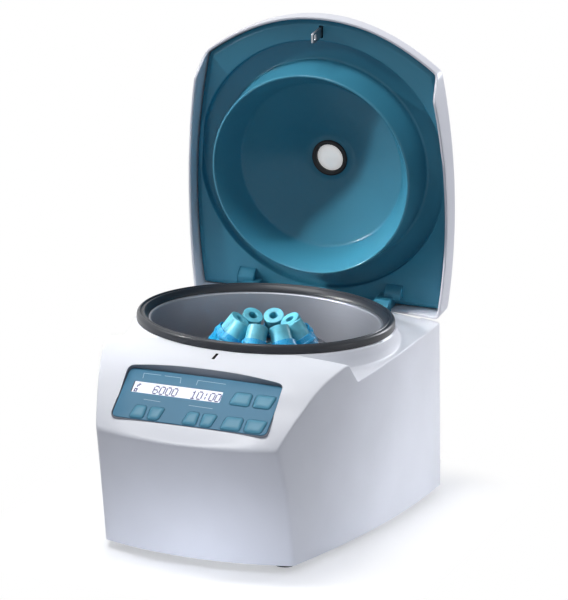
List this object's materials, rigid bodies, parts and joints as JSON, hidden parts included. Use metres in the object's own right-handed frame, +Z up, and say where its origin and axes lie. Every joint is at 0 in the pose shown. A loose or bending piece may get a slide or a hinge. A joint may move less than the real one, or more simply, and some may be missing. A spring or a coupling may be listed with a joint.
{
  "type": "benchtop centrifuge",
  "caption": "Benchtop centrifuge with a slanted control panel, an angle rotor with tube sleeves in a round chamber, and a hinged domed lid with a sight port, stored open.",
  "frame": {"origin": "on the floor under the middle of the whole part with its lid open", "axes": "+Z up, +Y to the rear, where the lid is hinged, +X to the right seen from the front"},
  "size_m": [0.2608, 0.404, 0.451],
  "materials": {
    "housing_plastic": "satin moulded plastic",
    "lid_plastic": "satin moulded plastic",
    "liner_plastic": "satin moulded plastic, teal",
    "gasket_rubber": "satin",
    "steel_sheet": "satin",
    "chamber_steel": "satin, drawn",
    "shaft_steel": "ground",
    "rotor_aluminium": "dark anodised",
    "sleeve_plastic": "satin",
    "insert_plastic": "satin",
    "panel_foil": "fine matt foil",
    "key_foil": "embossed foil",
    "display_glass": "backlit",
    "port_glass": "clear, bright from behind",
    "board_laminate": "matt",
    "black_plastic": "satin",
    "black_rubber": "matt"
  },
  "bodies": {
    "base": {"base_tray": "steel_sheet", "chamber_bowl": "chamber_steel", "control_board": "board_laminate", "control_panel": "panel_foil", "display_module": "display_glass", "foot_1": "black_rubber", "foot_2": "black_rubber", "foot_3": "black_rubber", "foot_4": "black_rubber", "hinge_bracket_left": "steel_sheet", "hinge_bracket_right": "steel_sheet", "housing": "housing_plastic", "lock_body": "black_plastic", "mains_inlet": "black_plastic", "motor": "rotor_aluminium", "motor_mount": "steel_sheet", "power_board": "board_laminate", "rear_panel": "steel_sheet", "rim_gasket": "gasket_rubber", "shaft_boot": "black_rubber", "switch_frame": "black_plastic"},
    "lid": {"lid_shell": "lid_plastic", "lid_liner": "liner_plastic", "lid_hook": "steel_sheet", "port_grommet": "black_rubber", "port_window": "port_glass", "hinge_arm_left": "liner_plastic", "hinge_arm_right": "liner_plastic"},
    "rotor": {"motor_shaft": "shaft_steel", "rotor_body": "rotor_aluminium", "rotor_nut": "shaft_steel", "sleeve_1": "sleeve_plastic", "sleeve_2": "sleeve_plastic", "sleeve_3": "sleeve_plastic", "sleeve_4": "sleeve_plastic", "sleeve_5": "sleeve_plastic", "sleeve_6": "sleeve_plastic", "sleeve_7": "sleeve_plastic", "sleeve_8": "sleeve_plastic", "insert_1": "insert_plastic", "insert_2": "insert_plastic", "insert_3": "insert_plastic", "insert_4": "insert_plastic", "insert_5": "insert_plastic", "insert_6": "insert_plastic", "insert_7": "insert_plastic", "insert_8": "insert_plastic"},
    "body_key_1": {"key_1": "key_foil"},
    "body_key_2": {"key_2": "key_foil"},
    "body_key_3": {"key_3": "key_foil"},
    "body_key_4": {"key_4": "key_foil"},
    "body_key_5": {"key_5": "key_foil"},
    "body_key_6": {"key_6": "key_foil"},
    "body_key_7": {"key_7": "key_foil"},
    "body_key_8": {"key_8": "key_foil"},
    "body_latch": {"lock_latch": "steel_sheet"},
    "body_rocker": {"power_rocker": "black_plastic"},
    "body_fuse_drawer": {"fuse_drawer": "black_plastic"}
  },
  "joints": [
    {"name": "lid_hinge", "type": "hinge", "parent": "base", "child": "lid", "pos_m": [0, 0.15205, 0.1656], "axis": [-1, 0, 0], "range_deg": [-83.2, 0]},
    {"name": "rotor_spin", "type": "hinge", "parent": "base", "child": "rotor", "pos_m": [0, 0.01445, 0.12], "axis": [0, 0, 1], "continuous": true},
    {"name": "latch_slide", "type": "slide", "parent": "base", "child": "body_latch", "axis": [-1, 0, 0], "range_m": [0, 0.008]},
    {"name": "rocker_tip", "type": "hinge", "parent": "base", "child": "body_rocker", "pos_m": [-0.024, 0.15295, 0.058], "axis": [1, 0, 0], "range_deg": [-24, 0]},
    {"name": "fuse_drawer_slide", "type": "slide", "parent": "base", "child": "body_fuse_drawer", "axis": [0, 1, 0], "range_m": [0, 0.012]},
    {"name": "key_1_press", "type": "slide", "parent": "base", "child": "body_key_1", "axis": [0, 0.6101, -0.7923], "range_m": [0, 0.0008], "stiffness_N_per_m": 400},
    {"name": "key_2_press", "type": "slide", "parent": "base", "child": "body_key_2", "axis": [0, 0.6101, -0.7923], "range_m": [0, 0.0008], "stiffness_N_per_m": 400},
    {"name": "key_3_press", "type": "slide", "parent": "base", "child": "body_key_3", "axis": [0, 0.6101, -0.7923], "range_m": [0, 0.0008], "stiffness_N_per_m": 400},
    {"name": "key_4_press", "type": "slide", "parent": "base", "child": "body_key_4", "axis": [0, 0.6101, -0.7923], "range_m": [0, 0.0008], "stiffness_N_per_m": 400},
    {"name": "key_5_press", "type": "slide", "parent": "base", "child": "body_key_5", "axis": [0, 0.6101, -0.7923], "range_m": [0, 0.0008], "stiffness_N_per_m": 400},
    {"name": "key_6_press", "type": "slide", "parent": "base", "child": "body_key_6", "axis": [0, 0.6101, -0.7923], "range_m": [0, 0.0008], "stiffness_N_per_m": 400},
    {"name": "key_7_press", "type": "slide", "parent": "base", "child": "body_key_7", "axis": [0, 0.6101, -0.7923], "range_m": [0, 0.0008], "stiffness_N_per_m": 400},
    {"name": "key_8_press", "type": "slide", "parent": "base", "child": "body_key_8", "axis": [0, 0.6101, -0.7923], "range_m": [0, 0.0008], "stiffness_N_per_m": 400}
  ]
}
